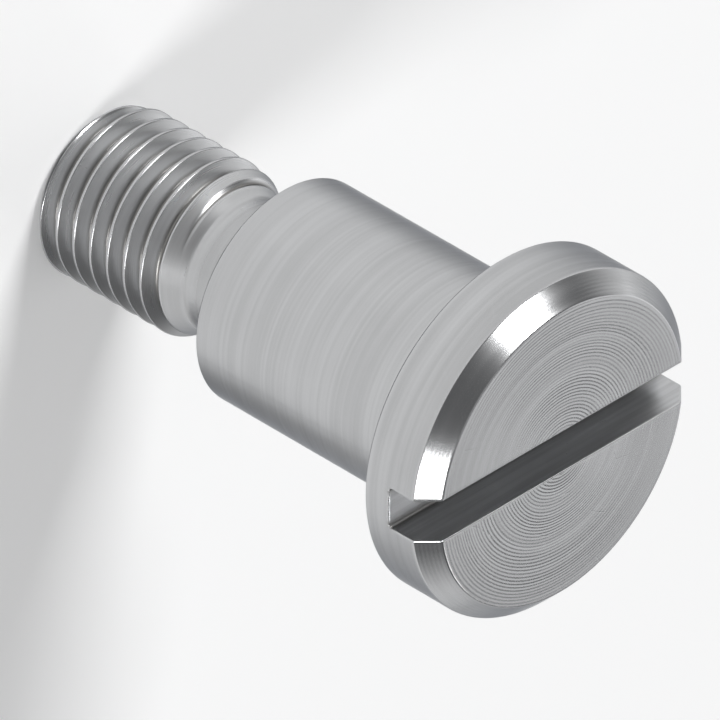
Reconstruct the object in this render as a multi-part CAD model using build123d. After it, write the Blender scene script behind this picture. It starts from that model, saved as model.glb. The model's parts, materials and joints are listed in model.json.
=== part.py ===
from build123d import *
import math
import os

# A slotted pan-head shoulder bolt, turned from one bar. Lengths are in millimetres.
#
# The bolt stands upright on +Z: the threaded stem points down, the head is on top. The origin is on the
# axis, in the plane of the shoulder's lower face, which seats on the part that the thread enters.
# The driving slot runs along X.

# Shoulder: the smooth journal that a lever, link or roller turns on
shoulder_diameter = 13.0
shoulder_length = 16.0

# Head: a low cylinder, its outer face bevelled at 45 degrees
head_diameter = 20.0
head_height = 4.6
head_bevel = 1.1

# Driving slot, sawn straight across the head
slot_width = 2.5
slot_depth = 2.8

# Thread: ISO metric, right-handed, one start
thread_diameter = 10.0
thread_pitch = 1.25
stem_length = 13.5  # from the shoulder's lower face to the end face
end_chamfer = 0.5  # 45 degrees

# Undercut: the relief between the thread and the shoulder, where the die or chaser runs out
undercut_width = 5.2  # from the shoulder's lower face to the first full crest
undercut_angle = 30.0  # between the run-out cone and the axis
undercut_radius = 0.8  # at both ends of the neck
neck_clearance = 0.38  # the neck lies this far below the thread's root, on the radius

# Light break on the two turned rims that would otherwise be sharp
edge_break = 0.15

# Worked out from the sizes above
shoulder_radius = shoulder_diameter / 2
head_radius = head_diameter / 2
head_top = shoulder_length + head_height
thread_radius = thread_diameter / 2
flank_slope = math.tan(math.radians(30.0))  # each flank leans 30 degrees from square to the axis
thread_depth = thread_pitch * math.sqrt(3.0) / 2 * 17 / 24  # of an external thread, to its flat root
root_flat = thread_pitch / 6
root_radius = thread_radius - thread_depth
neck_radius = root_radius - neck_clearance
cone_slope = math.tan(math.radians(undercut_angle))
cone_length = (thread_radius - neck_radius) / cone_slope


def corner_near(outline, x, z):
    """The outline's corner that is nearest to (x, z)."""
    return outline.vertices().sort_by_distance((x, z))[0]


def turned_outline():
    """Half the bolt's lengthwise section, in X and Z, with its turned fillets and edge breaks."""
    outline = make_face(
        Polyline(
            (0, -stem_length),
            (thread_radius - end_chamfer, -stem_length),
            (thread_radius, -stem_length + end_chamfer),
            (thread_radius, -undercut_width),
            (neck_radius, -undercut_width + cone_length),
            (neck_radius, 0),
            (shoulder_radius, 0),
            (shoulder_radius, shoulder_length),
            (head_radius, shoulder_length),
            (head_radius, head_top - head_bevel),
            (head_radius - head_bevel, head_top),
            (0, head_top),
            close=True,
        )
    )
    neck_ends = [
        corner_near(outline, neck_radius, -undercut_width + cone_length),
        corner_near(outline, neck_radius, 0),
    ]
    outline = fillet(neck_ends, undercut_radius)
    rims = [
        corner_near(outline, shoulder_radius, 0),
        corner_near(outline, head_radius, shoulder_length),
    ]
    return chamfer(rims, edge_break)


def turned_blank():
    """The bolt before its thread and slot are cut."""
    return revolve(Plane.XZ * turned_outline(), axis=Axis.Z)


def groove_turn():
    """One turn of the V groove as a solid, starting at angle 0 and rising one pitch from z = 0.

    The flanks run a little past the crest and the groove then goes straight out, so that neighbouring
    turns stay apart there and no edge of the groove lies on the stem's own surface.
    """
    past_crest = 0.04 * thread_pitch
    root_half = root_flat / 2
    mouth_half = root_half + (thread_depth + past_crest) * flank_slope
    section = make_face(
        Polyline(
            (-thread_depth, -root_half),
            (past_crest, -mouth_half),
            (thread_depth, -mouth_half),
            (thread_depth, mouth_half),
            (past_crest, mouth_half),
            (-thread_depth, root_half),
            close=True,
        )
    )
    path = Helix(pitch=thread_pitch, height=thread_pitch, radius=thread_radius)
    section_plane = Plane(origin=(thread_radius, 0, 0), x_dir=(1, 0, 0), z_dir=(0, -1, 0))
    return sweep(section_plane * section, path=path, is_frenet=True)


def cut_thread(blank):
    """Cut the groove turn by turn, from its run-out in the undercut down past the end face.

    The first turn ends where the groove's floor has come out through the run-out cone, and the last
    one lies below the end face by at least the groove's own width.
    """
    run_out = -undercut_width + thread_depth / cone_slope + root_flat
    turns = math.ceil((run_out + stem_length + thread_pitch) / thread_pitch)
    turn = groove_turn()
    for number in range(1, turns + 1):
        blank = blank - Pos(0, 0, run_out - number * thread_pitch) * turn
    return blank


def cut_slot(blank):
    """Saw the driving slot right across the head, along X."""
    saw = Box(
        2 * head_diameter,
        slot_width,
        head_height,
        align=(Align.CENTER, Align.CENTER, Align.MIN),
    )
    return blank - Pos(0, 0, head_top - slot_depth) * saw


def shoulder_bolt():
    """The finished bolt, one solid."""
    bolt = cut_slot(cut_thread(turned_blank()))
    bolt.label = "shoulder_bolt"
    return bolt


os.makedirs("parts", exist_ok=True)
export_step(shoulder_bolt(), "parts/shoulder_bolt.step")
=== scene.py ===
import json
import math

import bmesh
import bpy
import numpy as np
from bpy.props import FloatProperty, FloatVectorProperty, IntProperty, PointerProperty
from mathutils import Matrix, Vector


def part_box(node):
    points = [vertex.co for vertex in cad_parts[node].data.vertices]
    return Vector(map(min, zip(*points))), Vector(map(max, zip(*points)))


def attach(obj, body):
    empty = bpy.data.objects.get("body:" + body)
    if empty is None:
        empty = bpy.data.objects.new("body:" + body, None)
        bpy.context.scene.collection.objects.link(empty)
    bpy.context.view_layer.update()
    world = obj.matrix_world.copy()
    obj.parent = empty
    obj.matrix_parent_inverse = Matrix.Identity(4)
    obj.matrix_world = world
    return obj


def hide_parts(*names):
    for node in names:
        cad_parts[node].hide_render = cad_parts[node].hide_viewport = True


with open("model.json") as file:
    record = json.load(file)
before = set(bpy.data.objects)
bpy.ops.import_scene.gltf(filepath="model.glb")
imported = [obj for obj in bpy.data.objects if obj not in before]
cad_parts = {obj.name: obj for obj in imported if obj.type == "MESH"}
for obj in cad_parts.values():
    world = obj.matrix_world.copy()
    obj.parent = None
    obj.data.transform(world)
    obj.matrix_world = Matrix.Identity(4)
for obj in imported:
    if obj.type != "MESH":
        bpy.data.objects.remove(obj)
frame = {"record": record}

bl_info = {
    "name": "Slotted shoulder bolt",
    "version": (1, 0, 0),
    "blender": (4, 5, 0),
    "location": "3D View > Sidebar > Shoulder bolt",
    "description": "A pan-head shoulder bolt in turned steel with its thread, in a plain studio",
    "category": "Mesh",
}

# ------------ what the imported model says

MM = 0.001
NODE = "shoulder_bolt"
PIECE = "bolt_turned_steel"
BOX_LOW, BOX_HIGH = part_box(NODE)
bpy.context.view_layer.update()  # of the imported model, before the bolt is built
MOUNTS = {mount["name"]: mount for mount in frame["record"]["mounts"]}


def mount_height(name):
    """How far up the axis one of the record's mounts sits."""
    return MOUNTS[name]["pos_m"][2]


def mount_radius(name):
    """The radius of one of the record's round mounts."""
    return MOUNTS[name]["dims"]["r_mm"] * MM


# ------------ sizes and colours


def length(name, default, description):
    """A length in metres."""
    return FloatProperty(name=name, description=description, default=default, unit="LENGTH")


def power(name, default, description):
    """A lamp's power in watts."""
    return FloatProperty(name=name, description=description, default=default, unit="POWER")


def colour(name, default, description):
    """A linear colour."""
    kind = {"subtype": "COLOR", "size": 3, "min": 0.0, "max": 1.0}
    return FloatVectorProperty(name=name, description=description, default=default, **kind)


class BoltSizes(bpy.types.PropertyGroup):
    """The bolt's own sizes."""

    head_radius: length("Head radius", BOX_HIGH[0], "Radius of the head's rim")
    head_top: length("Head top", BOX_HIGH[2], "Height of the head's flat face")
    head_base: length(
        "Head base", mount_height("head_bearing"), "Height of the bearing face under the head"
    )
    head_bevel: length(
        "Head bevel", 1.1 * MM, "Width of the bevel round the head's flat face, at 45 degrees"
    )
    slot_floor: length("Slot floor", mount_height("driving_slot"), "Height of the driving slot's floor")
    slot_width: length("Slot width", 2.5 * MM, "Width of the driving slot")
    slot_corner: length("Slot corner", 0.2 * MM, "Radius that the saw leaves along the slot's floor")
    shoulder_radius: length("Shoulder radius", mount_radius("shoulder"), "Radius of the smooth shoulder")
    thread_radius: length("Thread radius", mount_radius("thread"), "Radius over the thread's crests")
    thread_pitch: length("Thread pitch", 1.25 * MM, "Rise of the thread in one turn")
    undercut_width: length(
        "Undercut width", 5.2 * MM, "From the shoulder's face to the first full crest"
    )
    undercut_radius: length("Undercut radius", 0.8 * MM, "Radius at both ends of the neck")
    neck_clearance: length("Neck clearance", 0.38 * MM, "How far the neck lies below the thread's root")
    stem_end: length("Stem end", BOX_LOW[2], "Height of the stem's end face")
    end_chamfer: length("End chamfer", 0.5 * MM, "Chamfer on the stem's end, at 45 degrees")
    rim_break: length("Rim break", 0.15 * MM, "Chamfer on the shoulder's and the head's lower rims")
    edge_round: length("Edge rounding", 0.06 * MM, "Radius left on turned edges by a touch of emery")
    slot_edge: length(
        "Slot edge rounding",
        0.09 * MM,
        "Radius left on the slot's edges when its burr is taken off",
    )
    head_fillet: length(
        "Fillet under the head", 0.2 * MM, "Radius of the tool's nose between shoulder and head"
    )
    half_columns: IntProperty(
        name="Columns round half the head",
        description="Faces along the rim of each half of the head",
        default=90,
        min=24,
    )


class BoltFinish(bpy.types.PropertyGroup):
    """The steel's colours and how finely it is cut."""

    bright: colour("Bright steel", (0.560, 0.565, 0.572), "Freshly turned steel")
    dull: colour("Dull steel", (0.450, 0.453, 0.458), "Steel that handling has dulled")
    # Painted shade: a near-black colour with the brown tint of oily grime, laid on the hollows and
    # inside corners.
    shade_and_grime: colour(
        "Oil in the corners",
        (0.130, 0.122, 0.110),
        "The oil film that stays in roots and inside corners",
    )
    glancing: colour(
        "Steel at a glancing angle",
        (0.38, 0.39, 0.41),
        "Tint of the steel where it is seen almost edge-on",
    )
    grinding_feed: length(
        "Grinding marks", 0.09 * MM, "Distance between the fine lines on the ground shoulder"
    )
    turning_feed: length("Turning feed", 0.15 * MM, "Distance between the marks on the turned surfaces")
    bevel_feed: length(
        "Bevel feed",
        0.32 * MM,
        "Distance between the marks on the head's bevel, measured along the axis",
    )
    facing_feed: length("Facing feed", 0.19 * MM, "Distance between the rings on the faced ends")
    saw_feed: length("Saw marks", 0.10 * MM, "Distance between the marks that the slotting saw leaves")


class StudioSettings(bpy.types.PropertyGroup):
    """The floor, the lights, the room and the camera."""

    floor_colour: colour("Floor", (0.93, 0.93, 0.93), "Colour of the floor")
    floor_size: length("Floor size", 6.0, "Length of the floor's side")
    key_power: power("Key light", 37.0, "The strong soft light above")
    fill_power: power("Fill light", 20.5, "The weaker light on the other side")
    card_power: power("Card light", 2.40, "The broad dim light that the head's flat face mirrors")
    sheen_power: power(
        "Sheen light", 2.10, "The small light that draws the sheen across the head's rings"
    )
    horizon: colour("Horizon", (0.92, 0.92, 0.92), "The pale wall round the studio")
    ceiling: colour(
        "Ceiling",
        (0.135, 0.136, 0.139),
        "The dark ceiling that gives the steel its contrast",
    )
    overhead: colour("Overhead", (0.42, 0.421, 0.424), "The soft glow straight overhead")
    lens: FloatProperty(
        name="Lens",
        description="Focal length of the long lens, which keeps parallel lines parallel",
        default=1550.0,
        unit="CAMERA",
    )
    view_width: length("View width", 37.54 * MM, "Width of what the camera sees at the bolt")
    aim: FloatVectorProperty(
        name="Aim",
        description="The point that the camera looks at",
        default=(1.593 * MM, 0.0, 7.325 * MM),
        subtype="TRANSLATION",
        unit="LENGTH",
        size=3,
    )


# ------------ lines and sheets of points

SHORT_STEP = 0.35  # the step beside an edge, against the even ones


def rounded_line(corners, guard=0.0, step_deg=15.0):
    """A line through (radius, height, rounding) corners, with an arc at each rounded corner.

    An arc's points are step_deg degrees apart. Where there is room, a point is added at the guard
    distance on both sides of an arc, so that the arc's shading stays beside the arc.
    """
    line = [np.array(corners[0][:2], float)]
    for before, corner, after in zip(corners, corners[1:], corners[2:]):
        here = np.array(corner[:2], float)
        radius = corner[2]
        if radius <= 0:
            line.append(here)
            continue
        to_before = np.array(before[:2], float) - here
        to_after = np.array(after[:2], float) - here
        room = min(np.linalg.norm(to_before), np.linalg.norm(to_after)) / 2
        to_before /= np.linalg.norm(to_before)
        to_after /= np.linalg.norm(to_after)
        turn = math.pi - math.acos(np.clip(to_before @ to_after, -1, 1))
        tangent = radius * math.tan(turn / 2)
        if tangent + guard < room:
            line.append(here + to_before * (tangent + guard))
        inward = to_before + to_after
        inward /= np.linalg.norm(inward)
        centre = here + inward * radius / math.cos(turn / 2)
        start = here + to_before * tangent - centre
        end = here + to_after * tangent - centre
        steps = max(2, math.ceil(math.degrees(turn) / step_deg))
        for number in range(steps + 1):
            share = number / steps
            spoke = (
                math.sin((1 - share) * turn) * start + math.sin(share * turn) * end
            ) / math.sin(turn)
            line.append(centre + spoke)
        if tangent + guard < room:
            line.append(here + to_after * (tangent + guard))
    line.append(np.array(corners[-1][:2], float))
    return np.array(line)


def soft_corner(start, corner, end, steps):
    """Points of a soft corner from start to end, bending towards the corner."""
    share = np.linspace(0, 1, steps + 1)[:, None]
    return (1 - share) ** 2 * start + 2 * share * (1 - share) * corner + share**2 * end


def points_at(x, y, z):
    """Points from numbers or arrays, which are spread over each other."""
    return np.stack(np.broadcast_arrays(x, y, z), axis=-1)


def ringed(radius, angles, height):
    """Points round the axis, from numbers or arrays."""
    return points_at(radius * np.cos(angles), radius * np.sin(angles), height)


def turned_sheet(line, angles):
    """The sheet that a (radius, height) line sweeps when it turns round the axis."""
    return ringed(line[:, 0][:, None], angles, line[:, 1][:, None])


def stretched_sheet(low, high, left, right):
    """A sheet that fills four joined edges: low and high run across, left and right run up."""
    across = np.linspace(0, 1, len(low))[None, :, None]
    up = np.linspace(0, 1, len(left))[:, None, None]
    rows = (1 - up) * low[None] + up * high[None]
    columns = (1 - across) * left[:, None] + across * right[:, None]
    corners = (
        (1 - up) * (1 - across) * low[0]
        + (1 - up) * across * low[-1]
        + up * (1 - across) * high[0]
        + up * across * high[-1]
    )
    return rows + columns - corners


def even_shares(count):
    """Shares from 0 to 1 in even steps, with short first and last steps beside an edge."""
    share = np.linspace(0, 1, count + 1)
    short = SHORT_STEP / count
    share[1], share[-2] = short, 1 - short
    return share


class Skin:
    """Collects sheets of points and makes one welded mesh of them.

    A face's zone is the number of the material that it takes.
    """

    def __init__(self):
        self.points, self.faces, self.zones = [], [], []
        self.count = 0

    def add_sheet(self, sheet, zone, closed=False):
        """Add a grid of points; a closed one joins its last column to its first."""
        rows, columns = sheet.shape[:2]
        number = self.count + np.arange(rows * columns).reshape(rows, columns)
        if closed:
            number = np.hstack([number, number[:, :1]])
        quads = np.stack(
            [number[:-1, :-1], number[:-1, 1:], number[1:, 1:], number[1:, :-1]],
            axis=-1,
        ).reshape(-1, 4)
        self.points.append(sheet.reshape(-1, 3))
        self.faces += quads.tolist()
        self.zones += [zone] * len(quads)
        self.count += rows * columns

    def add_faces(self, points, faces, zone):
        """Add loose points with the faces between them."""
        self.points.append(points)
        self.faces += [[self.count + index for index in face] for face in faces]
        self.zones += [zone] * len(faces)
        self.count += len(points)

    def mesh(self, name):
        """The welded mesh, which has to be closed."""
        mesh = bpy.data.meshes.new(name)
        mesh.from_pydata(np.concatenate(self.points).tolist(), [], self.faces)
        mesh.polygons.foreach_set("material_index", self.zones)
        shape = bmesh.new()
        shape.from_mesh(mesh)
        bmesh.ops.remove_doubles(shape, verts=shape.verts, dist=SAME_PLACE)
        loose = [vertex for vertex in shape.verts if not vertex.link_faces]
        bmesh.ops.delete(shape, geom=loose, context="VERTS")
        bmesh.ops.recalc_face_normals(shape, faces=shape.faces)
        if any(not edge.is_manifold for edge in shape.edges):
            raise RuntimeError("the bolt's skin has an open or doubled edge")
        if shape.calc_volume(signed=True) < 0:
            bmesh.ops.reverse_faces(shape, faces=shape.faces)
        shape.to_mesh(mesh)
        shape.free()
        return mesh


# ------------ the bolt's surfaces

# The tool that finished a face, in the order of bolt_materials.
GROUND, TURNED, BEVELLED, FACED, THREADED, SAWN = range(6)

FLANK_ANGLE = math.radians(30)  # each thread flank leans this far from square to the axis
CONE_ANGLE = math.radians(30)  # between the run-out cone and the axis
BEVEL_ROUND = 0.20 * MM  # on the bevel's lower edge
TOP_ROUND = 0.15 * MM  # on the bevel's upper edge
CHAMFER_ROUND = 0.10 * MM  # on the stem's end chamfer
CONE_ROUND = 0.15 * MM  # where the run-out cone meets the stem
CREST_BLEND = 0.05 * MM  # how far the thread's crests are rubbed round

CORNER_STEPS = 3  # faces round a small rounded edge
FLOOR_STEPS = 8  # faces across the slot's floor
WALL_STEPS = 4  # faces up the slot's wall, and as many round its foot
TURNED_GUARD = 0.12 * MM  # from a rounded edge of a turned surface to the next row of faces
FACED_GUARD = 0.15 * MM  # from the edge of the head's flat face to its next row of faces
END_GAP = 0.02 * MM  # the thread's rows of faces come no closer than this to the stem's ends
SAME_PLACE = 1e-4 * MM  # points closer than this are welded

# Rows of faces up the rim: round the bevel's lower edge, on the bevel, round its upper edge.
# The first and the last count in tangent lengths of their rounding, the middle in bevel heights.
LOWER_EDGE_ROWS = np.array([-1.0, -0.6, -0.24, 0.12, 0.42, 0.71])
BEVEL_ROWS = np.array([0.16, 0.41, 0.68, 0.82])
UPPER_EDGE_ROWS = np.array([-1.42, -0.8, -0.48, -0.2, -0.05, 0.0])
# Rows of faces from a root to the next crest, closest together where the thread bends.
THREAD_ROWS = np.array(
    [0, 0.055, 0.105, 0.156, 0.235, 0.313, 0.391, 0.469, 0.515, 0.535, 0.552, 0.575, 0.625]
)
# Rings of faces on the stem's end face, as shares of its radius.
END_RINGS = np.array([1.0, 0.96, 0.75, 0.5, 0.25, 0.06])


class BoltShape:
    """Works out the bolt's surfaces from its sizes."""

    def __init__(self, sizes):
        self.sizes = sizes
        pitch = sizes.thread_pitch
        self.thread_depth = pitch * math.sqrt(3) / 2 * 17 / 24
        self.root_flat = pitch / 6
        self.root_radius = sizes.thread_radius - self.thread_depth
        self.neck_radius = self.root_radius - sizes.neck_clearance
        self.flank_slope = math.tan(FLANK_ANGLE)
        self.cone_slope = math.tan(CONE_ANGLE)
        self.run_out = -sizes.undercut_width + self.thread_depth / self.cone_slope + self.root_flat
        self.slot_half = sizes.slot_width / 2
        self.floor_half = self.slot_half - sizes.slot_corner
        self.rim_line = rounded_line(
            [
                (sizes.head_radius, sizes.slot_floor - sizes.slot_edge, 0),
                (sizes.head_radius, sizes.head_top - sizes.head_bevel, BEVEL_ROUND),
                (sizes.head_radius - sizes.head_bevel, sizes.head_top, TOP_ROUND),
                (0, sizes.head_top, 0),
            ],
            step_deg=1.5,
        )
        self.stem_line = self.stem_outline()
        self.angles = self.column_angles()

    # -- the head

    def rim_radius(self, height):
        """The head's radius at a height beside the slot."""
        below_top = self.rim_line[: np.argmax(self.rim_line[:, 1]) + 1]
        return float(np.interp(height, below_top[:, 1], below_top[:, 0]))

    def wall_offset(self, height):
        """How far the slot's wall stands from the slot's middle plane at a height."""
        sizes = self.sizes
        corner, edge = sizes.slot_corner, sizes.slot_edge
        up, down = height - sizes.slot_floor, sizes.head_top - height
        if up < corner:
            return self.slot_half - corner + math.sqrt(max(0, corner**2 - (corner - up) ** 2))
        if down < edge:
            return self.slot_half + edge - math.sqrt(max(0, edge**2 - (edge - down) ** 2))
        return self.slot_half

    def half_outline(self, height, inset=0.0):
        """Outline of one half of the head at a height, as chord, corner, arc and corner."""
        columns = self.sizes.half_columns
        radius = self.rim_radius(height) - inset
        offset = self.wall_offset(height) + inset
        edge = self.sizes.slot_edge
        reach = math.sqrt(radius**2 - offset**2)
        across = (reach - edge) * (2 * even_shares(columns) - 1)
        chord = points_at(across, offset, height)
        first = math.asin(offset / radius) + edge / radius
        arc = ringed(radius, first + (math.pi - 2 * first) * even_shares(columns), height)
        right = soft_corner(chord[-1], np.array([reach, offset, height]), arc[0], CORNER_STEPS)
        left = soft_corner(arc[-1], np.array([-reach, offset, height]), chord[0], CORNER_STEPS)
        return chord, right, arc, left

    def half_heights(self):
        """The heights at which the halves of the head are drawn, from the slot's floor up."""
        sizes = self.sizes
        corner, top = sizes.slot_corner, sizes.head_top
        bevel_foot = top - sizes.head_bevel
        tangent = math.tan(math.radians(45 / 2))  # of a 45 degree edge with a radius of 1
        turn = np.linspace(0, math.pi / 2, WALL_STEPS + 1)
        foot = sizes.slot_floor + corner * (1 - np.cos(turn))
        wall = np.linspace(foot[-1], bevel_foot - BEVEL_ROUND, WALL_STEPS + 1)[1:]
        lower_edge = bevel_foot + LOWER_EDGE_ROWS * BEVEL_ROUND * tangent
        bevel = bevel_foot + BEVEL_ROWS * sizes.head_bevel
        upper_edge = top + UPPER_EDGE_ROWS * TOP_ROUND * tangent
        return np.concatenate([foot, wall, lower_edge, bevel, upper_edge])

    def column_angles(self):
        """The angles of the faces' columns round the axis, counted from the slot's end at +X."""
        edge = self.sizes.slot_edge
        radius = self.sizes.head_radius
        floor = np.arcsin(np.linspace(0, self.floor_half, FLOOR_STEPS // 2 + 1) / radius)
        corner = math.asin(self.floor_half / radius)
        first = corner + edge / radius
        corner_part = np.linspace(corner, first, CORNER_STEPS + 1)
        arc = first + (math.pi - 2 * first) * even_shares(self.sizes.half_columns)
        half = [*floor, *corner_part[1:], *arc[1:]]
        half += [math.pi - angle for angle in corner_part[::-1][1:]]
        half += [math.pi - angle for angle in floor[::-1][1:]]
        return np.array(half + [math.pi + angle for angle in half[1:-1]])

    def add_head_halves(self, skin):
        """The two halves of the head above the slot's floor, with the slot's walls."""
        sizes = self.sizes
        heights = self.half_heights()
        outlines = [self.half_outline(height) for height in heights]
        outlines.append(self.half_outline(sizes.head_top, inset=FACED_GUARD))
        low = sizes.slot_floor - sizes.slot_edge
        skirt_heights = np.linspace(low, sizes.slot_floor, CORNER_STEPS + 1)
        bevel_row = int(np.searchsorted(heights, sizes.head_top - sizes.head_bevel))
        for side in (1, -1):
            mirror = np.array([1, side, 1])
            chords = np.array([chord for chord, _, _, _ in outlines]) * mirror
            rims = np.array(
                [np.concatenate([right, arc[1:-1], left]) for _, right, arc, left in outlines]
            )
            skin.add_sheet(chords[:-1], SAWN)
            skin.add_sheet(chords[-2:], FACED)
            skin.add_sheet(rims[: bevel_row + 1] * mirror, TURNED)
            skin.add_sheet(rims[bevel_row:-1] * mirror, BEVELLED)
            skin.add_sheet(rims[-2:] * mirror, FACED)
            chord, right, arc, left = outlines[-1]
            face = stretched_sheet(chord, arc[::-1], left[::-1], right)
            skin.add_sheet(face * mirror, FACED)
            floor_arc = outlines[0][2]
            skirt = np.repeat(floor_arc[None], CORNER_STEPS + 1, axis=0)
            skirt[:, :, 2] = skirt_heights[:, None]
            skin.add_sheet(skirt * mirror, TURNED)

    def add_slot_floor(self, skin):
        """The slot's floor, with its rounded ends and the four small corners beside them."""
        sizes = self.sizes
        edge, radius = sizes.slot_edge, sizes.head_radius
        floor, low = sizes.slot_floor, sizes.slot_floor - sizes.slot_edge
        across = np.linspace(-self.floor_half, self.floor_half, FLOOR_STEPS + 1)
        reach = np.sqrt(radius**2 - across**2)
        along = (reach - edge)[:, None] * (2 * even_shares(sizes.half_columns) - 1)
        skin.add_sheet(points_at(along, across[:, None], floor), SAWN)

        ends = np.array(
            [
                soft_corner(
                    np.array([x - edge, y, floor]),
                    np.array([x, y, floor]),
                    np.array([x, y, low]),
                    CORNER_STEPS,
                )
                for x, y in zip(reach, across)
            ]
        )
        _, right, _, _ = self.half_outline(floor)
        corner = math.asin(self.floor_half / radius)
        foot = ringed(radius, np.linspace(corner, corner + edge / radius, CORNER_STEPS + 1), low)
        drop = np.linspace(0, 1, CORNER_STEPS + 1)[:, None]
        outer = (1 - drop) * right[-1] + drop * foot[-1]
        patch = stretched_sheet(right, foot, ends[-1], outer)
        for x_side in (1, -1):
            skin.add_sheet(ends * np.array([x_side, 1, 1]), SAWN)
            for y_side in (1, -1):
                skin.add_sheet(patch * np.array([x_side, y_side, 1]), SAWN)

    # -- the shoulder, and the head's underside and rim

    def add_turned_body(self, skin, neck_height):
        """From the neck over the shoulder to the head's rim, just below the slot."""
        sizes = self.sizes
        rim, edge = sizes.rim_break, sizes.edge_round
        under_slot = sizes.slot_floor - sizes.slot_edge
        line = rounded_line(
            [
                (self.neck_radius, neck_height, 0),
                (self.neck_radius, 0, sizes.undercut_radius),
                (sizes.shoulder_radius - rim, 0, edge),
                (sizes.shoulder_radius, rim, edge),
                (sizes.shoulder_radius, sizes.head_base / 3, 0),
                (sizes.shoulder_radius, sizes.head_base * 2 / 3, 0),
                (sizes.shoulder_radius, sizes.head_base, sizes.head_fillet),
                (sizes.head_radius - rim, sizes.head_base, edge),
                (sizes.head_radius, sizes.head_base + rim, edge),
                (sizes.head_radius, under_slot - TURNED_GUARD, 0),
                (sizes.head_radius, under_slot, 0),
            ],
            guard=TURNED_GUARD,
        )
        # The shoulder is ground between its rim and the fillet under the head.
        on_shoulder = np.isclose(line[:, 0], sizes.shoulder_radius, atol=SAME_PLACE)
        first, last = np.flatnonzero(on_shoulder)[[0, -1]]
        sheet = turned_sheet(line, self.angles)
        skin.add_sheet(sheet[: first + 1], TURNED, closed=True)
        skin.add_sheet(sheet[first : last + 1], GROUND, closed=True)
        skin.add_sheet(sheet[last:], TURNED, closed=True)

    # -- the threaded stem

    def stem_outline(self):
        """The stem's outline before its thread is cut, from the end face up to the neck."""
        sizes = self.sizes
        cone_length = (sizes.thread_radius - self.neck_radius) / self.cone_slope
        cone_top = -sizes.undercut_width + cone_length
        return rounded_line(
            [
                (sizes.thread_radius - sizes.end_chamfer, sizes.stem_end, 0),
                (sizes.thread_radius, sizes.stem_end + sizes.end_chamfer, CHAMFER_ROUND),
                (sizes.thread_radius, -sizes.undercut_width, CONE_ROUND),
                (self.neck_radius, cone_top, sizes.undercut_radius),
                (self.neck_radius, cone_top + sizes.undercut_radius, 0),
            ],
            step_deg=2,
        )

    def stem_radius(self, height, angle):
        """The threaded stem's radius: its outline, or the thread's groove where that is deeper.

        The groove's root is rounded by the arc that touches its flat and both flanks.
        """
        pitch = self.sizes.thread_pitch
        outline = np.interp(height, self.stem_line[:, 1], self.stem_line[:, 0])
        phase = ((height - self.run_out) / pitch - angle / (2 * math.pi)) % 1.0
        from_root = np.minimum(phase, 1 - phase) * pitch
        root_round = self.root_flat / 2 / self.flank_slope
        arc = root_round - np.sqrt(np.maximum(0, root_round**2 - from_root**2))
        flank = (from_root - self.root_flat / 2) / self.flank_slope
        on_arc = from_root < root_round * math.cos(FLANK_ANGLE)
        groove = self.root_radius + np.where(on_arc, arc, flank)
        nearness = np.maximum(CREST_BLEND - np.abs(outline - groove), 0) / CREST_BLEND
        return np.minimum(outline, groove) - nearness**2 * CREST_BLEND / 4

    def row_offsets(self):
        """Where the rows of faces lie within one pitch, from one root to the next."""
        half = THREAD_ROWS / THREAD_ROWS[-1] / 2
        return np.concatenate([half, 1 - half[1:-1][::-1]]) * self.sizes.thread_pitch

    def add_thread(self, skin, neck_height):
        """The thread and its run-outs, as a sheet whose rows climb with the thread."""
        sizes, angles = self.sizes, self.angles
        pitch = sizes.thread_pitch
        low, high = sizes.stem_end + sizes.edge_round, neck_height
        offsets = self.row_offsets()
        first = math.floor((low - self.run_out) / pitch) - 1
        last = math.ceil((high - self.run_out) / pitch)
        # Each row has its height at angle 0 and climbs a pitch in one turn.
        start = np.concatenate(
            [self.run_out + turn * pitch + offsets for turn in range(first, last + 1)]
        )
        height = start[:, None] + pitch * angles / (2 * math.pi)
        # Rows that climb past an end stop there, and so do those that come close to it.
        height = np.where(height > high - END_GAP, high, height)
        height = np.where(height < low + END_GAP, low, height)
        points = ringed(self.stem_radius(height, angles), angles, height)
        rows, columns = height.shape
        number = np.arange(rows * columns).reshape(rows, columns)
        # All rows that stop at the same end share the points of one row there.
        number = np.where(height == high, number[-1], number)
        number = np.where(height == low, number[0], number)
        # After a full turn a row goes on as the one that starts a pitch higher.
        climbed = np.minimum(np.arange(rows) + len(offsets), rows - 1)
        number = np.hstack([number, number[climbed, :1]])
        faces = []
        for lower, upper in zip(number, number[1:]):
            for column in range(columns):
                face = [lower[column], lower[column + 1], upper[column + 1], upper[column]]
                face = [index for place, index in enumerate(face) if index != face[place - 1]]
                if len(face) > 2:
                    faces.append([int(index) for index in face])
        skin.add_faces(points.reshape(-1, 3), faces, THREADED)

    def add_stem_end(self, skin):
        """The end face, drawn in from the outline that the chamfer and the groove leave."""
        angles, end, edge = self.angles, self.sizes.stem_end, self.sizes.edge_round
        outline, corner = self.stem_radius(end + edge, angles), self.stem_radius(end, angles)
        rounding = np.array(
            [
                soft_corner(
                    np.array([outer, end + edge]),
                    np.array([inner, end]),
                    np.array([inner - edge, end]),
                    CORNER_STEPS,
                )
                for outer, inner in zip(outline, corner)
            ]
        )
        skin.add_sheet(ringed(rounding[:, :, 0].T, angles, rounding[:, :, 1].T), THREADED, closed=True)
        rings = ringed((corner - edge) * END_RINGS[:, None], angles, end)
        skin.add_sheet(rings, FACED, closed=True)
        columns = len(angles)
        centre = np.array([[0, 0, end]])
        fan = [[i, (i + 1) % columns, columns] for i in range(columns)]
        skin.add_faces(np.concatenate([rings[-1], centre]), fan, FACED)

    def build(self):
        """The whole bolt's mesh; the threaded stem meets the turned body halfway up the neck."""
        skin = Skin()
        neck_height = -self.sizes.undercut_width / 2
        self.add_thread(skin, neck_height)
        self.add_stem_end(skin)
        self.add_turned_body(skin, neck_height)
        self.add_head_halves(skin)
        self.add_slot_floor(skin)
        return skin.mesh(PIECE)


# ------------ shading that follows the mesh

BEND_RANGE = (4.0, 16.0)  # degrees between faces, from no mark to a full one


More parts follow.
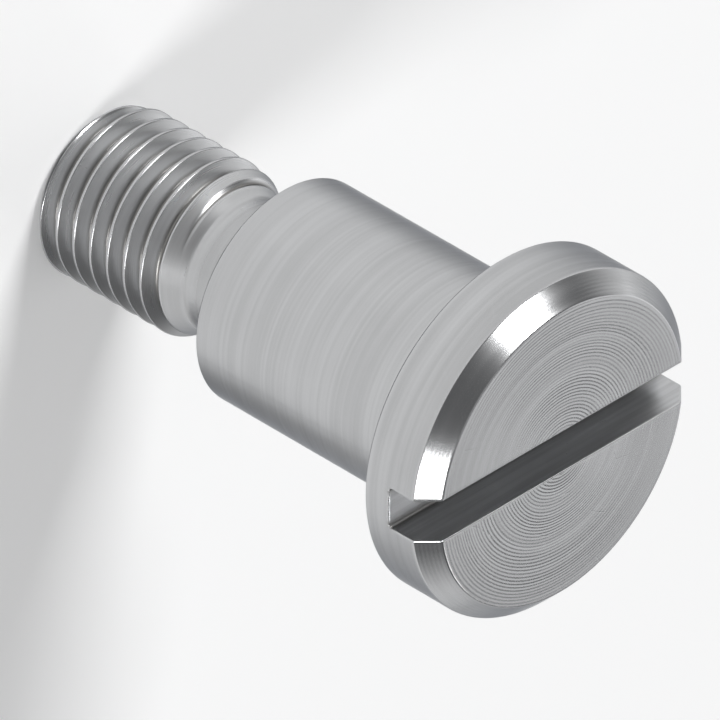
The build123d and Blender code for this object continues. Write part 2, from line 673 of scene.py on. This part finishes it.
def read(items, name, kind=float, width=1):
    """One attribute of all the items of a mesh, as an array with width values for each."""
    values = np.empty(len(items) * width, kind)
    items.foreach_get(name, values)
    return values.reshape(-1, width) if width > 1 else values


def face_of_loops(mesh):
    """The number of the face that each face corner belongs to."""
    return np.repeat(np.arange(len(mesh.polygons)), read(mesh.polygons, "loop_total", int))


def mark_edges(mesh):
    """Store on each vertex how far the surface bends out there (edge) or in (hollow)."""
    normal = read(mesh.polygons, "normal", width=3)
    centre = read(mesh.polygons, "center", width=3)
    ends = read(mesh.edges, "vertices", int, width=2)
    # Each edge has two face corners, so sorting by edge brings its two faces side by side.
    order = np.argsort(read(mesh.loops, "edge_index", int), kind="stable")
    face_of = face_of_loops(mesh)
    one, two = face_of[order[0::2]], face_of[order[1::2]]
    alignment = np.einsum("ij,ij->i", normal[one], normal[two])
    bend = np.degrees(np.arccos(np.clip(alignment, -1, 1)))
    outward = np.einsum("ij,ij->i", normal[one], centre[two] - centre[one]) < 0
    least, most = BEND_RANGE
    strength = np.clip((bend - least) / (most - least), 0, 1)
    for name, chosen in (("edge", outward), ("hollow", ~outward)):
        value = np.zeros(len(mesh.vertices))
        for side in (0, 1):
            np.maximum.at(value, ends[:, side], np.where(chosen, strength, 0))
        layer = mesh.attributes.new(name, "FLOAT", "POINT")
        layer.data.foreach_set("value", value)


def shade_by_area(mesh):
    """Smooth shading in which wide faces stay flat and only their rounded edges bend the light."""
    weighted = read(mesh.polygons, "normal", width=3) * read(mesh.polygons, "area")[:, None]
    mean = np.zeros((len(mesh.vertices), 3))
    np.add.at(mean, read(mesh.loops, "vertex_index", int), weighted[face_of_loops(mesh)])
    mean /= np.linalg.norm(mean, axis=1)[:, None]
    mesh.polygons.foreach_set("use_smooth", np.ones(len(mesh.polygons), bool))
    mesh.normals_split_custom_set_from_vertices(mean.tolist())


# ------------ materials

RING_CHANGE = 0.4  # how much a turned ring changes on its way round
FEED_WANDER = 4.0  # how many feeds the regular marks wander
FAINT_MARKS, DEEP_MARKS = 0.15, 0.5
STREAK_HEIGHT, SCRATCH_HEIGHT = 2.5, -0.4  # against the regular marks
SCRATCH_WIDTH = 0.03 * MM
SCRATCH_CELLS = ((240.0, 0.0), (410.0, 0.37))  # cells per metre, and how far they are moved
CLOUD_SCALE = 210.0  # clouds per metre
CLOUD_DULLING = 0.25
RUBBED_BRIGHT = 0.8  # how much of the bright colour rubbed edges and scratches take
# What the roughness gains where the steel is dull, rubbed or oily.
ROUGHER_DULL, ROUGHER_RUBBED, ROUGHER_OILY = 0.10, -0.06, 0.10


class NodeMaker:
    """Adds nodes to a tree and links them, so that a material reads from top to bottom."""

    def __init__(self, tree):
        self.tree = tree

    def node(self, kind, inputs=None, **settings):
        """A node with its settings, and with each input linked or set to a value."""
        made = self.tree.nodes.new(kind)
        for name, value in settings.items():
            setattr(made, name, value)
        for key, value in (inputs or {}).items():
            self.feed(made.inputs[key], value)
        return made

    def feed(self, socket, value):
        """Link another node's socket, or set a value."""
        if isinstance(value, bpy.types.NodeSocket):
            self.tree.links.new(value, socket)
        else:
            socket.default_value = value

    def maths(self, operation, *values, clamp=False):
        inputs = dict(enumerate(values))
        made = self.node("ShaderNodeMath", inputs, operation=operation, use_clamp=clamp)
        return made.outputs[0]

    def vector(self, operation, *values, output=0):
        inputs = dict(enumerate(values))
        return self.node("ShaderNodeVectorMath", inputs, operation=operation).outputs[output]

    def split(self, vector):
        return self.node("ShaderNodeSeparateXYZ", {"Vector": vector}).outputs

    def join(self, x, y, z=0.0):
        return self.node("ShaderNodeCombineXYZ", {"X": x, "Y": y, "Z": z}).outputs[0]

    def ramp(self, value, low, high, to_low=0.0, to_high=1.0):
        """A soft step: to_low where the value is low, to_high where it is high."""
        labels = ("Value", "From Min", "From Max", "To Min", "To Max")
        inputs = dict(zip(labels, (value, low, high, to_low, to_high)))
        made = self.node("ShaderNodeMapRange", inputs, interpolation_type="SMOOTHSTEP")
        return made.outputs[0]

    def blend_colours(self, factor, first, second):
        inputs = {"Factor": factor, "A": first, "B": second}
        return self.node("ShaderNodeMix", inputs, data_type="RGBA").outputs["Result"]

    def group(self, group, inputs):
        """The outputs of a node group that is placed in the tree."""
        return self.node("ShaderNodeGroup", inputs, node_tree=group).outputs


def new_group(name, inputs, outputs):
    """An empty shader node group with named sockets, each given with its kind."""
    group = bpy.data.node_groups.new(name, "ShaderNodeTree")
    for way, sockets in (("INPUT", inputs), ("OUTPUT", outputs)):
        for label, kind in sockets.items():
            group.interface.new_socket(name=label, in_out=way, socket_type="NodeSocket" + kind)
    make = NodeMaker(group)
    entry = make.node("NodeGroupInput").outputs
    leave = make.node("NodeGroupOutput").inputs
    return group, make, entry, leave


def turned_marks_group():
    """Rings cut by a lathe tool, round the axis on every surface.

    Ridges are the tool's regular feed marks, and Streaks the uneven bands that its wear leaves.
    """
    group, make, entry, leave = new_group(
        "Turned marks",
        {"Place": "Vector", "Feed": "Float"},
        {"Ridges": "Float", "Streaks": "Float"},
    )
    x, y, z = make.split(entry["Place"])
    sideways = make.join(x, y)
    radius = make.vector("LENGTH", sideways, output=1)
    outward = make.vector("NORMALIZE", sideways)
    turn = make.split(make.vector("MULTIPLY", outward, (RING_CHANGE,) * 3))

    def bands(widen, detail, seed):
        """Noise that runs round the axis in rings, widen feeds apart."""
        spacing = make.maths("MULTIPLY", entry["Feed"], widen)
        across = make.join(
            make.maths("DIVIDE", radius, spacing),
            make.maths("DIVIDE", z, spacing),
            make.maths("ADD", turn["X"], seed),
        )
        return make.node(
            "ShaderNodeTexNoise",
            {"Vector": across, "W": turn["Y"], "Scale": 1.0, "Detail": detail},
            noise_dimensions="4D",
        ).outputs[0]

    travel = make.maths("DIVIDE", make.maths("SUBTRACT", radius, z), entry["Feed"])
    wander = bands(widen=14.0, detail=1.0, seed=3.0)
    phase = make.maths("MULTIPLY_ADD", wander, FEED_WANDER, travel)
    wave = make.maths("SINE", make.maths("MULTIPLY", phase, 2 * math.pi))
    depth = make.ramp(bands(widen=5.0, detail=1.0, seed=11.0), 0.3, 0.7, FAINT_MARKS, DEEP_MARKS)
    make.feed(leave["Ridges"], make.maths("MULTIPLY_ADD", wave, depth, 0.5))
    narrow = bands(widen=2.2, detail=2.0, seed=0.0)
    wide = bands(widen=16.0, detail=2.0, seed=7.0)
    mean = make.maths("MULTIPLY", make.maths("ADD", narrow, wide), 0.5)
    make.feed(leave["Streaks"], mean)
    return group


def sawn_marks_group():
    """Straight marks along X, as a slotting saw leaves them."""
    group, make, entry, leave = new_group(
        "Sawn marks",
        {"Place": "Vector", "Feed": "Float"},
        {"Ridges": "Float", "Streaks": "Float"},
    )
    x, y, z = make.split(entry["Place"])
    for label, widen, length_in_widths in (("Ridges", 1.0, 60.0), ("Streaks", 3.0, 30.0)):
        spacing = make.maths("MULTIPLY", entry["Feed"], widen)
        along = make.maths("MULTIPLY", spacing, length_in_widths)
        stretched = make.join(
            make.maths("DIVIDE", x, along),
            make.maths("DIVIDE", y, spacing),
            make.maths("DIVIDE", z, spacing),
        )
        noise = make.node("ShaderNodeTexNoise", {"Vector": stretched, "Scale": 1.0, "Detail": 2.0})
        make.feed(leave[label], noise.outputs[0])
    return group


def handling_group():
    """Soft clouds and hairline scratches from handling.

    The scratches are the borders of large cells, kept only here and there.
    """
    group, make, entry, leave = new_group(
        "Handling",
        {"Place": "Vector", "Scratches": "Float"},
        {"Clouds": "Float", "Scratches": "Float"},
    )
    clouds = make.node(
        "ShaderNodeTexNoise",
        {"Vector": entry["Place"], "Scale": CLOUD_SCALE, "Detail": 3.0, "Roughness": 0.5},
    )
    make.feed(leave["Clouds"], make.ramp(clouds.outputs[0], 0.3, 0.75))
    lines = []
    for scale, shift in SCRATCH_CELLS:
        moved = make.vector("ADD", entry["Place"], (shift, shift * 2, shift * 3))
        border = make.node(
            "ShaderNodeTexVoronoi",
            {"Vector": moved, "Scale": scale},
            feature="DISTANCE_TO_EDGE",
        ).outputs["Distance"]
        line = make.ramp(border, 0.0, scale * SCRATCH_WIDTH, 1.0, 0.0)
        kept = make.node(
            "ShaderNodeTexNoise", {"Vector": moved, "Scale": scale * 1.7, "Detail": 1.0}
        ).outputs[0]
        lines.append(make.maths("MULTIPLY", line, make.ramp(kept, 0.56, 0.66)))
    scratches = make.maths("MAXIMUM", *lines)
    make.feed(leave["Scratches"], make.maths("MULTIPLY", scratches, entry["Scratches"]))
    return group


def steel_colour_group():
    """Colour and roughness of the steel, from its marks and rubbed edges, with painted shade in its
    inside corners that takes the brown tint of oily grime.
    """
    colours = ("Bright", "Dull", "Grime")
    masks = ("Clouds", "Streaks", "Scratches", "Edge", "Hollow")
    amounts = ("Dulling", "Grime amount", "Roughness")
    group, make, entry, leave = new_group(
        "Steel colour",
        dict.fromkeys(colours, "Color") | dict.fromkeys(masks + amounts, "Float"),
        {"Color": "Color", "Roughness": "Float"},
    )
    streaked = make.ramp(entry["Streaks"], 0.32, 0.68)
    dulled = make.maths("MULTIPLY_ADD", entry["Clouds"], CLOUD_DULLING, streaked)
    dulled = make.maths("MULTIPLY", dulled, entry["Dulling"], clamp=True)
    steel = make.blend_colours(dulled, entry["Bright"], entry["Dull"])
    rubbed = make.maths("MAXIMUM", entry["Edge"], entry["Scratches"])
    brightened = make.maths("MULTIPLY", rubbed, RUBBED_BRIGHT)
    steel = make.blend_colours(brightened, steel, entry["Bright"])
    # Painted shade: the hollows darken towards the grime colour, which stands in for the shade in inside
    # corners and thread roots as well as for an oil film.
    shaded_and_oily = make.maths("MULTIPLY", entry["Hollow"], entry["Grime amount"])
    make.feed(leave["Color"], make.blend_colours(shaded_and_oily, steel, entry["Grime"]))
    rough = make.maths("MULTIPLY_ADD", dulled, ROUGHER_DULL, entry["Roughness"])
    rough = make.maths("MULTIPLY_ADD", rubbed, ROUGHER_RUBBED, rough)
    rough = make.maths("MULTIPLY_ADD", shaded_and_oily, ROUGHER_OILY, rough, clamp=True)
    make.feed(leave["Roughness"], rough)
    return group


def node_groups():
    """The effects that the materials share."""
    return {
        "turned": turned_marks_group(),
        "sawn": sawn_marks_group(),
        "handling": handling_group(),
        "colour": steel_colour_group(),
    }


def steel_material(groups, finish, name, marks, feed, depth, roughness, dulling, shade_and_grime, scratches):
    """Steel with the marks of one tool, which lie feed apart and are depth deep.

    The amounts of dulling, of the painted shade and grime in the hollows, and of scratches run from 0 to
    1.
    """
    material = bpy.data.materials.new(name)
    material.use_nodes = True
    tree = material.node_tree
    tree.nodes.clear()
    make = NodeMaker(tree)
    place = make.node("ShaderNodeTexCoord").outputs["Object"]
    tooled = make.group(groups[marks], {"Place": place, "Feed": feed})
    handled = make.group(groups["handling"], {"Place": place, "Scratches": scratches})
    edge = make.node("ShaderNodeAttribute", attribute_name="edge").outputs["Fac"]
    # The hollow mask places the painted shade and grime in inside corners and thread roots.
    hollow = make.node("ShaderNodeAttribute", attribute_name="hollow").outputs["Fac"]
    tint = make.group(
        groups["colour"],
        {
            "Bright": (*finish.bright, 1),
            "Dull": (*finish.dull, 1),
            "Grime": (*finish.shade_and_grime, 1),
            "Clouds": handled["Clouds"],
            "Streaks": tooled["Streaks"],
            "Scratches": handled["Scratches"],
            "Edge": edge,
            "Hollow": hollow,
            "Dulling": dulling,
            "Grime amount": shade_and_grime,
            "Roughness": roughness,
        },
    )
    height = make.maths("MULTIPLY_ADD", tooled["Streaks"], STREAK_HEIGHT, tooled["Ridges"])
    height = make.maths("MULTIPLY_ADD", handled["Scratches"], SCRATCH_HEIGHT, height)
    bump = make.node("ShaderNodeBump", {"Strength": 1.0, "Distance": depth, "Height": height})
    shader = make.node(
        "ShaderNodeBsdfPrincipled",
        {
            "Base Color": tint["Color"],
            "Roughness": tint["Roughness"],
            "Metallic": 1.0,
            "Specular Tint": (*finish.glancing, 1),
            "Normal": bump.outputs[0],
        },
    )
    make.node("ShaderNodeOutputMaterial", {"Surface": shader.outputs[0]})
    return material


def bolt_materials(finish):
    """The six finishes in the order of the mesh's zones."""
    groups = node_groups()
    # Name, kind of marks, feed, depth, roughness, dulling, painted shade and grime in hollows,
    # scratches.
    finishes = (
        ("ground_steel", "turned", finish.grinding_feed, 0.0017 * MM, 0.15, 0.7, 0.5, 0.5),
        ("turned_steel", "turned", finish.turning_feed, 0.0030 * MM, 0.17, 1.0, 0.6, 0.4),
        ("bevelled_steel", "turned", finish.bevel_feed, 0.0012 * MM, 0.17, 0.6, 0.4, 0.3),
        ("faced_steel", "turned", finish.facing_feed, 0.0044 * MM, 0.16, 0.5, 0.4, 0.7),
        ("threaded_steel", "turned", finish.turning_feed, 0.0018 * MM, 0.25, 0.7, 0.75, 0.2),
        ("sawn_steel", "sawn", finish.saw_feed, 0.0055 * MM, 0.28, 0.8, 0.7, 0.2),
    )
    return [steel_material(groups, finish, *values) for values in finishes]


# ------------ operators

FLOOR_ROUGHNESS = 0.9


class BOLT_OT_build(bpy.types.Operator):
    """Build the bolt: threaded stem, undercut, shoulder and slotted pan head, in turned steel"""

    bl_idname = "shoulder_bolt.build_bolt"
    bl_label = "Bolt"

    def execute(self, context):
        scene = context.scene
        mesh = BoltShape(scene.bolt_sizes).build()
        mark_edges(mesh)
        shade_by_area(mesh)
        for material in bolt_materials(scene.bolt_finish):
            mesh.materials.append(material)
        bolt = bpy.data.objects.new(PIECE, mesh)
        scene.collection.objects.link(bolt)
        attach(bolt, "root")
        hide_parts(NODE)
        return {"FINISHED"}


class BOLT_OT_stage(bpy.types.Operator):
    """Lay the pale floor under the bolt, and set the soft lights and the camera"""

    bl_idname = "shoulder_bolt.build_stage"
    bl_label = "Studio"

    def execute(self, context):
        scene = context.scene
        studio = scene.bolt_studio
        self.lay_floor(scene, studio)
        self.light(scene, studio)
        self.surround(scene, studio)
        self.place_camera(scene, studio)
        scene.view_settings.view_transform = "Standard"
        return {"FINISHED"}

    def lay_floor(self, scene, studio):
        """A square floor at the height of the stem's end."""
        half, level = studio.floor_size / 2, BOX_LOW[2]
        corners = [(x * half, y * half, level) for x, y in ((-1, -1), (1, -1), (1, 1), (-1, 1))]
        mesh = bpy.data.meshes.new("studio_floor")
        mesh.from_pydata(corners, [], [(0, 1, 2, 3)])
        material = bpy.data.materials.new("pale_floor")
        material.use_nodes = True
        shader = material.node_tree.nodes["Principled BSDF"]
        shader.inputs["Base Color"].default_value = (*studio.floor_colour, 1)
        shader.inputs["Roughness"].default_value = FLOOR_ROUGHNESS
        shader.inputs["Specular IOR Level"].default_value = 0.0
        mesh.materials.append(material)
        floor = bpy.data.objects.new("studio_floor", mesh)
        scene.collection.objects.link(floor)

    def light(self, scene, studio):
        """The four lamps: angles in degrees, distances and sides in metres."""
        for name, azimuth, elevation, distance, side, power in (
            ("key_light", -110, 42, 2.4, 0.70, studio.key_power),
            ("fill_light", 15, 40, 2.4, 0.70, studio.fill_power),
            ("card_light", 161, 33, 1.2, 1.00, studio.card_power),
            ("sheen_light", 120, 40, 2.4, 0.32, studio.sheen_power),
        ):
            self.add_lamp(scene, name, azimuth, elevation, distance, side, power)

    def add_lamp(self, scene, name, azimuth, elevation, distance, side, power):
        """A square soft light, placed by its angles round and above the bolt, in degrees."""
        centre = Vector((0, 0, (BOX_LOW[2] + BOX_HIGH[2]) / 2))
        turn, rise = math.radians(azimuth), math.radians(elevation)
        level = math.cos(rise)
        way = Vector((math.cos(turn) * level, math.sin(turn) * level, math.sin(rise)))
        lamp = bpy.data.lights.new(name, "AREA")
        lamp.shape = "SQUARE"
        lamp.size = side
        lamp.energy = power
        item = bpy.data.objects.new(name, lamp)
        item.location = centre + way * distance
        item.rotation_mode = "QUATERNION"
        item.rotation_quaternion = way.to_track_quat("Z", "Y")
        scene.collection.objects.link(item)

    def surround(self, scene, studio):
        """A pale ring at the horizon under a darker ceiling, with a soft glow overhead."""
        world = bpy.data.worlds.new("studio_room")
        world.use_nodes = True
        tree = world.node_tree
        tree.nodes.clear()
        make = NodeMaker(tree)
        way = make.node("ShaderNodeTexCoord").outputs["Generated"]
        tones = make.node("ShaderNodeValToRGB", {"Fac": make.split(way)["Z"]})
        # From the horizon (0) to straight overhead (1), as sines of the height above the horizon.
        stops = (
            (0.0, studio.horizon),
            (0.2, studio.horizon),
            (0.45, studio.ceiling),
            (0.85, studio.ceiling),
            (1.0, studio.overhead),
        )
        points = tones.color_ramp.elements
        for sine, _ in stops[1:-1]:
            points.new(sine)
        for point, (_, colour_there) in zip(points, stops):
            point.color = (*colour_there, 1)
        background = make.node(
            "ShaderNodeBackground", {"Color": tones.outputs["Color"], "Strength": 1.0}
        )
        make.node("ShaderNodeOutputWorld", {"Surface": background.outputs[0]})
        scene.world = world

    def place_camera(self, scene, studio):
        """An isometric view, with the head at the lower right and the stem at the upper left."""
        right = Vector((-1, 0, 1)).normalized()
        up = Vector((-1, -2, -1)).normalized()
        back = Vector((1, -1, 1)).normalized()
        camera = bpy.data.cameras.new("studio_camera")
        camera.sensor_width = 36.0
        camera.lens = studio.lens
        distance = studio.view_width / camera.sensor_width * studio.lens
        camera.clip_start, camera.clip_end = 0.05, 100.0
        item = bpy.data.objects.new("studio_camera", camera)
        facing = Matrix((right, up, back)).transposed().to_4x4()
        item.matrix_world = Matrix.Translation(Vector(studio.aim) + back * distance) @ facing
        scene.collection.objects.link(item)
        scene.camera = item


class BOLT_PT_panel(bpy.types.Panel):
    """Lists the bolt's operators, sizes and colours"""

    bl_idname = "BOLT_PT_panel"
    bl_label = "Shoulder bolt"
    bl_space_type = "VIEW_3D"
    bl_region_type = "UI"
    bl_category = "Shoulder bolt"

    def draw(self, context):
        scene = context.scene
        for group in (scene.bolt_sizes, scene.bolt_finish, scene.bolt_studio):
            box = self.layout.box()
            for name in group.__annotations__:
                box.prop(group, name)
        self.layout.operator(BOLT_OT_build.bl_idname)
        self.layout.operator(BOLT_OT_stage.bl_idname)


CLASSES = (BoltSizes, BoltFinish, StudioSettings, BOLT_OT_build, BOLT_OT_stage, BOLT_PT_panel)


def register():
    for item in CLASSES:
        bpy.utils.register_class(item)
    bpy.types.Scene.bolt_sizes = PointerProperty(type=BoltSizes)
    bpy.types.Scene.bolt_finish = PointerProperty(type=BoltFinish)
    bpy.types.Scene.bolt_studio = PointerProperty(type=StudioSettings)


def unregister():
    del bpy.types.Scene.bolt_studio
    del bpy.types.Scene.bolt_finish
    del bpy.types.Scene.bolt_sizes
    for item in reversed(CLASSES):
        bpy.utils.unregister_class(item)


def main():
    register()
    bpy.ops.shoulder_bolt.build_bolt()
    bpy.ops.shoulder_bolt.build_stage()


if __name__ == "__main__":
    main()
